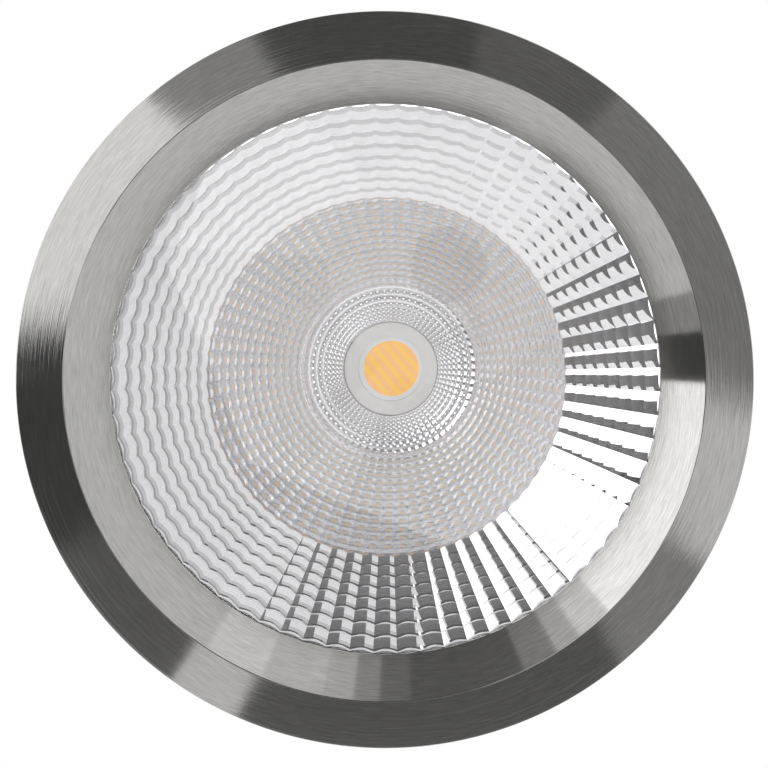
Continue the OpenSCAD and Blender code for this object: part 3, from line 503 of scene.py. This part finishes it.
# Enamelled copper wire, wound: warm and glossy
copper = grained("copper_enamelled", "#9A4A26", "#B8683A", 0.5, 0.02, Metallic=1.0, Roughness=0.25)
# Polyamide terminal body: moulded, grey green
terminal = grained("polyamide_moulded", "#3E6B52", "#477A5E", 1.0, 0.01, Roughness=0.5)
# Silicone pad filled with ceramic powder: pale grey blue, dull
pad = grained("thermal_silicone_pad", "#A9ACB8", "#B6B9C4", 0.6, 0.01, Roughness=0.8)
# Extruded silicone insulation of the leads: dark red, satin
insulation = grained("silicone_extruded", "#8E1A18", "#A02421", 2.0, 0.01, Roughness=0.45)


# --- Trim ring -----------------------------------------------------------------------------

# The face stays a hair inside the CAD solid's radius, so that the dressed part isn't larger
TRIM_R = FACE_R - 0.01

trim_outline = rounded([
    (TRIM_R, EDGE_Z, 0.35), (TRIM_R, BACK_Z, 0.3), (SPIGOT_R, BACK_Z), (SPIGOT_R, SPIGOT_Z, 0.5),
    (RECESS_R, SPIGOT_Z), (RECESS_R, SEAT_Z), (OPENING_R, SEAT_Z, 0.1), (OPENING_R, LIP_Z, 0.25),
    (RIDGE_R, RIDGE_Z, 0.5),
])
trim = lathe("trim_ring_brushed", trim_outline, steel, steps=360)
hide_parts("trim_ring")
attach(trim, "fitting")


# --- Reflector -----------------------------------------------------------------------------

# Each row of the outer zone is narrower than the last by this ratio, and the rows of the bowl
# crowd together towards the hole by this share
ROW_RATIO, CROWD = 0.957, 0.18

# The deep bowl is a paraboloid with its focus on the LED, and a rounded shoulder at the neck
FOCAL = (math.hypot(LEDGE_R, LES_Z - BOWL_Z) - (LES_Z - BOWL_Z)) / 2
BOWL_TOP_Z = NECK_Z - WALL
SHOULDER_R = math.sqrt(4 * FOCAL * (LES_Z + FOCAL - BOWL_TOP_Z + SHOULDER_H))
SHOULDER_SLOPE = SHOULDER_R / (2 * FOCAL)
SHOULDER_POWER = SHOULDER_SLOPE * (SHOULDER_R - NECK_R) / SHOULDER_H

# Each facet is a pillow. Across, it bulges by a share of its chord: level in the outer zone, and
# out of its plane in the bowl, where the share follows the wall's lean, and less at the hole.
SCALLOP, BULGE_ROUND, LEAST_LEAN, HOLE_SHARE = 0.08, 0.095, 0.6, 0.75
# Down, from one row to the next, it bulges by a share of its length
BULGE_OUTER, BULGE_INNER, BULGE_HOLE = 0.042, 0.045, 0.085
# Faces of a pillow, across and down, and the turn in degrees from which an edge stays sharp
ACROSS, DOWN, SHARP = 6, 5, 9


def outer_r(i):
    return RIM_R - (RIM_R - STEP_R) * (1 - ROW_RATIO ** i) / (1 - ROW_RATIO ** OUTER_ROWS)


def outer_z(r):
    return RIM_Z + OUTER_ZONE_H * (RIM_R - r) / (RIM_R - STEP_R)


def inner_r(j):
    share = j / INNER_ROWS
    return LEDGE_R - (LEDGE_R - NECK_R) * ((1 + CROWD) * share - CROWD * share ** 4)


def bowl(r):
    if r > SHOULDER_R:
        return LES_Z + FOCAL - r ** 2 / (4 * FOCAL)
    return BOWL_TOP_Z - SHOULDER_H * ((r - NECK_R) / (SHOULDER_R - NECK_R)) ** SHOULDER_POWER


def bowl_slope(r):
    if r > SHOULDER_R:
        return r / (2 * FOCAL)
    return SHOULDER_SLOPE * ((r - NECK_R) / (SHOULDER_R - NECK_R)) ** (SHOULDER_POWER - 1)


def bowl_back(r):
    """The outside of the bowl, one wall thickness out along its normal."""
    slope = bowl_slope(r)
    wall = WALL / math.sqrt(1 + slope ** 2)
    return r + wall * slope, bowl(r) + wall


def pillow_rows(start, end, is_outer):
    """Rows of (radius, height, bulge in, bulge down) of one pillow, from its start to its end."""
    (r0, z0), (r1, z1) = start, end
    length = math.hypot(r1 - r0, z1 - z0)
    lean_r, lean_z = -(z1 - z0) / length, (r1 - r0) / length
    share = BULGE_ROUND * max(-lean_r, LEAST_LEAN)
    if is_outer:
        bulge, out = BULGE_OUTER, (-SCALLOP, 0.0)
    elif r0 < SHOULDER_R:
        bulge, out = BULGE_HOLE, (lean_r * share * HOLE_SHARE, lean_z * share * HOLE_SHARE)
    else:
        bulge, out = BULGE_INNER, (lean_r * share, lean_z * share)
    rows = []
    for k in range(DOWN):
        v = k / DOWN
        swell = bulge * length * 4 * v * (1 - v)
        rows.append((r0 + (r1 - r0) * v + lean_r * swell, z0 + (z1 - z0) * v + lean_z * swell,
                     *out))
    return rows + [(r1, z1, *out)]


def reflector_rows():
    """Rows of (radius, height, bulge in, bulge down) from the rim in to the hole and back out."""
    outer = [(outer_r(i), outer_z(outer_r(i))) for i in range(OUTER_ROWS + 1)]
    inner = [(inner_r(j), bowl(inner_r(j))) for j in range(INNER_ROWS + 1)]
    rows = []
    for zone in (outer, inner):
        for start, end in zip(zone, zone[1:]):
            pillow = pillow_rows(start, end, zone is outer)
            rows += pillow if end is zone[-1] else pillow[:-1]
    back = [bowl_back(NECK_R + (LEDGE_R - NECK_R) * j / BACK_ROWS) for j in range(BACK_ROWS + 1)]
    back += [(STEP_BACK_R, STEP_BACK_Z), (RIM_R, RIM_BACK_Z), (FLANGE_R, RIM_BACK_Z),
             (FLANGE_R, RIM_Z)]
    return rows + [(r, z, 0.0, 0.0) for r, z in back]


def faceted_reflector():
    """One sector's strip, shaped from a flat grid and copied round. The grid's last column of
    points comes back to the first row, which closes the outline."""
    rows = reflector_rows()
    deselect()
    bpy.ops.mesh.primitive_grid_add(x_subdivisions=len(rows), y_subdivisions=ACROSS, size=MM)
    piece = bpy.context.object
    half = math.radians(180 / SECTORS)
    columns = len(rows) + 1
    for index, vertex in enumerate(piece.data.vertices):
        r, z, bulge_in, bulge_down = rows[index % columns % len(rows)]
        u = 2 * (index // columns) / ACROSS - 1
        swell = 2 * r * math.sin(half) * (1 - u * u)
        far = r * math.cos(half) / math.cos(half * u) + bulge_in * swell
        x, y = far * math.cos(half * u), far * math.sin(half * u)
        vertex.co = Vector((x, y, z + bulge_down * swell)) * MM
    spin(SECTORS, weld=2e-6, copies=True)
    return finish_piece(piece, "reflector_facets", bright, SHARP)


reflector = faceted_reflector()
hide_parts("reflector")
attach(reflector, "fitting")


# --- Dress of the CAD nodes ----------------------------------------------------------------

dress("lens_glass", clear)
dress("lens_gasket sink_seal case_gasket gland_seal lead_grommet", silicone)
dress("soffit_gasket", sponge)
dress("clip_pad_1 clip_pad_2 clip_pad_3", sleeve)
dress("led_holder", white_plastic)
dress("led_board", ceramic)
dress("led_phosphor", phosphor)
dress("thermal_pad", pad)
dress("led_leads", insulation)
dress("housing_can driver_case case_cover", cast)
dress("heat_sink", fin_metal)
dress("front_screws sink_screws holder_screws standoff_screws cover_screws board_screws "
      "bracket_screws clip_pins case_standoffs", screw_steel)
dress("clip_brackets", zinc)
dress("clip_springs clip_arm_1 clip_arm_2 clip_arm_3", spring_steel)
dress("gland_body gland_nut gland_locknut", nickel)
dress("vent_plug", nylon)
dress("driver_board", board_green)
dress("transformer", ferrite)
dress("capacitors", sleeve_blue)
dress("choke", copper)
dress("terminal_block", terminal)
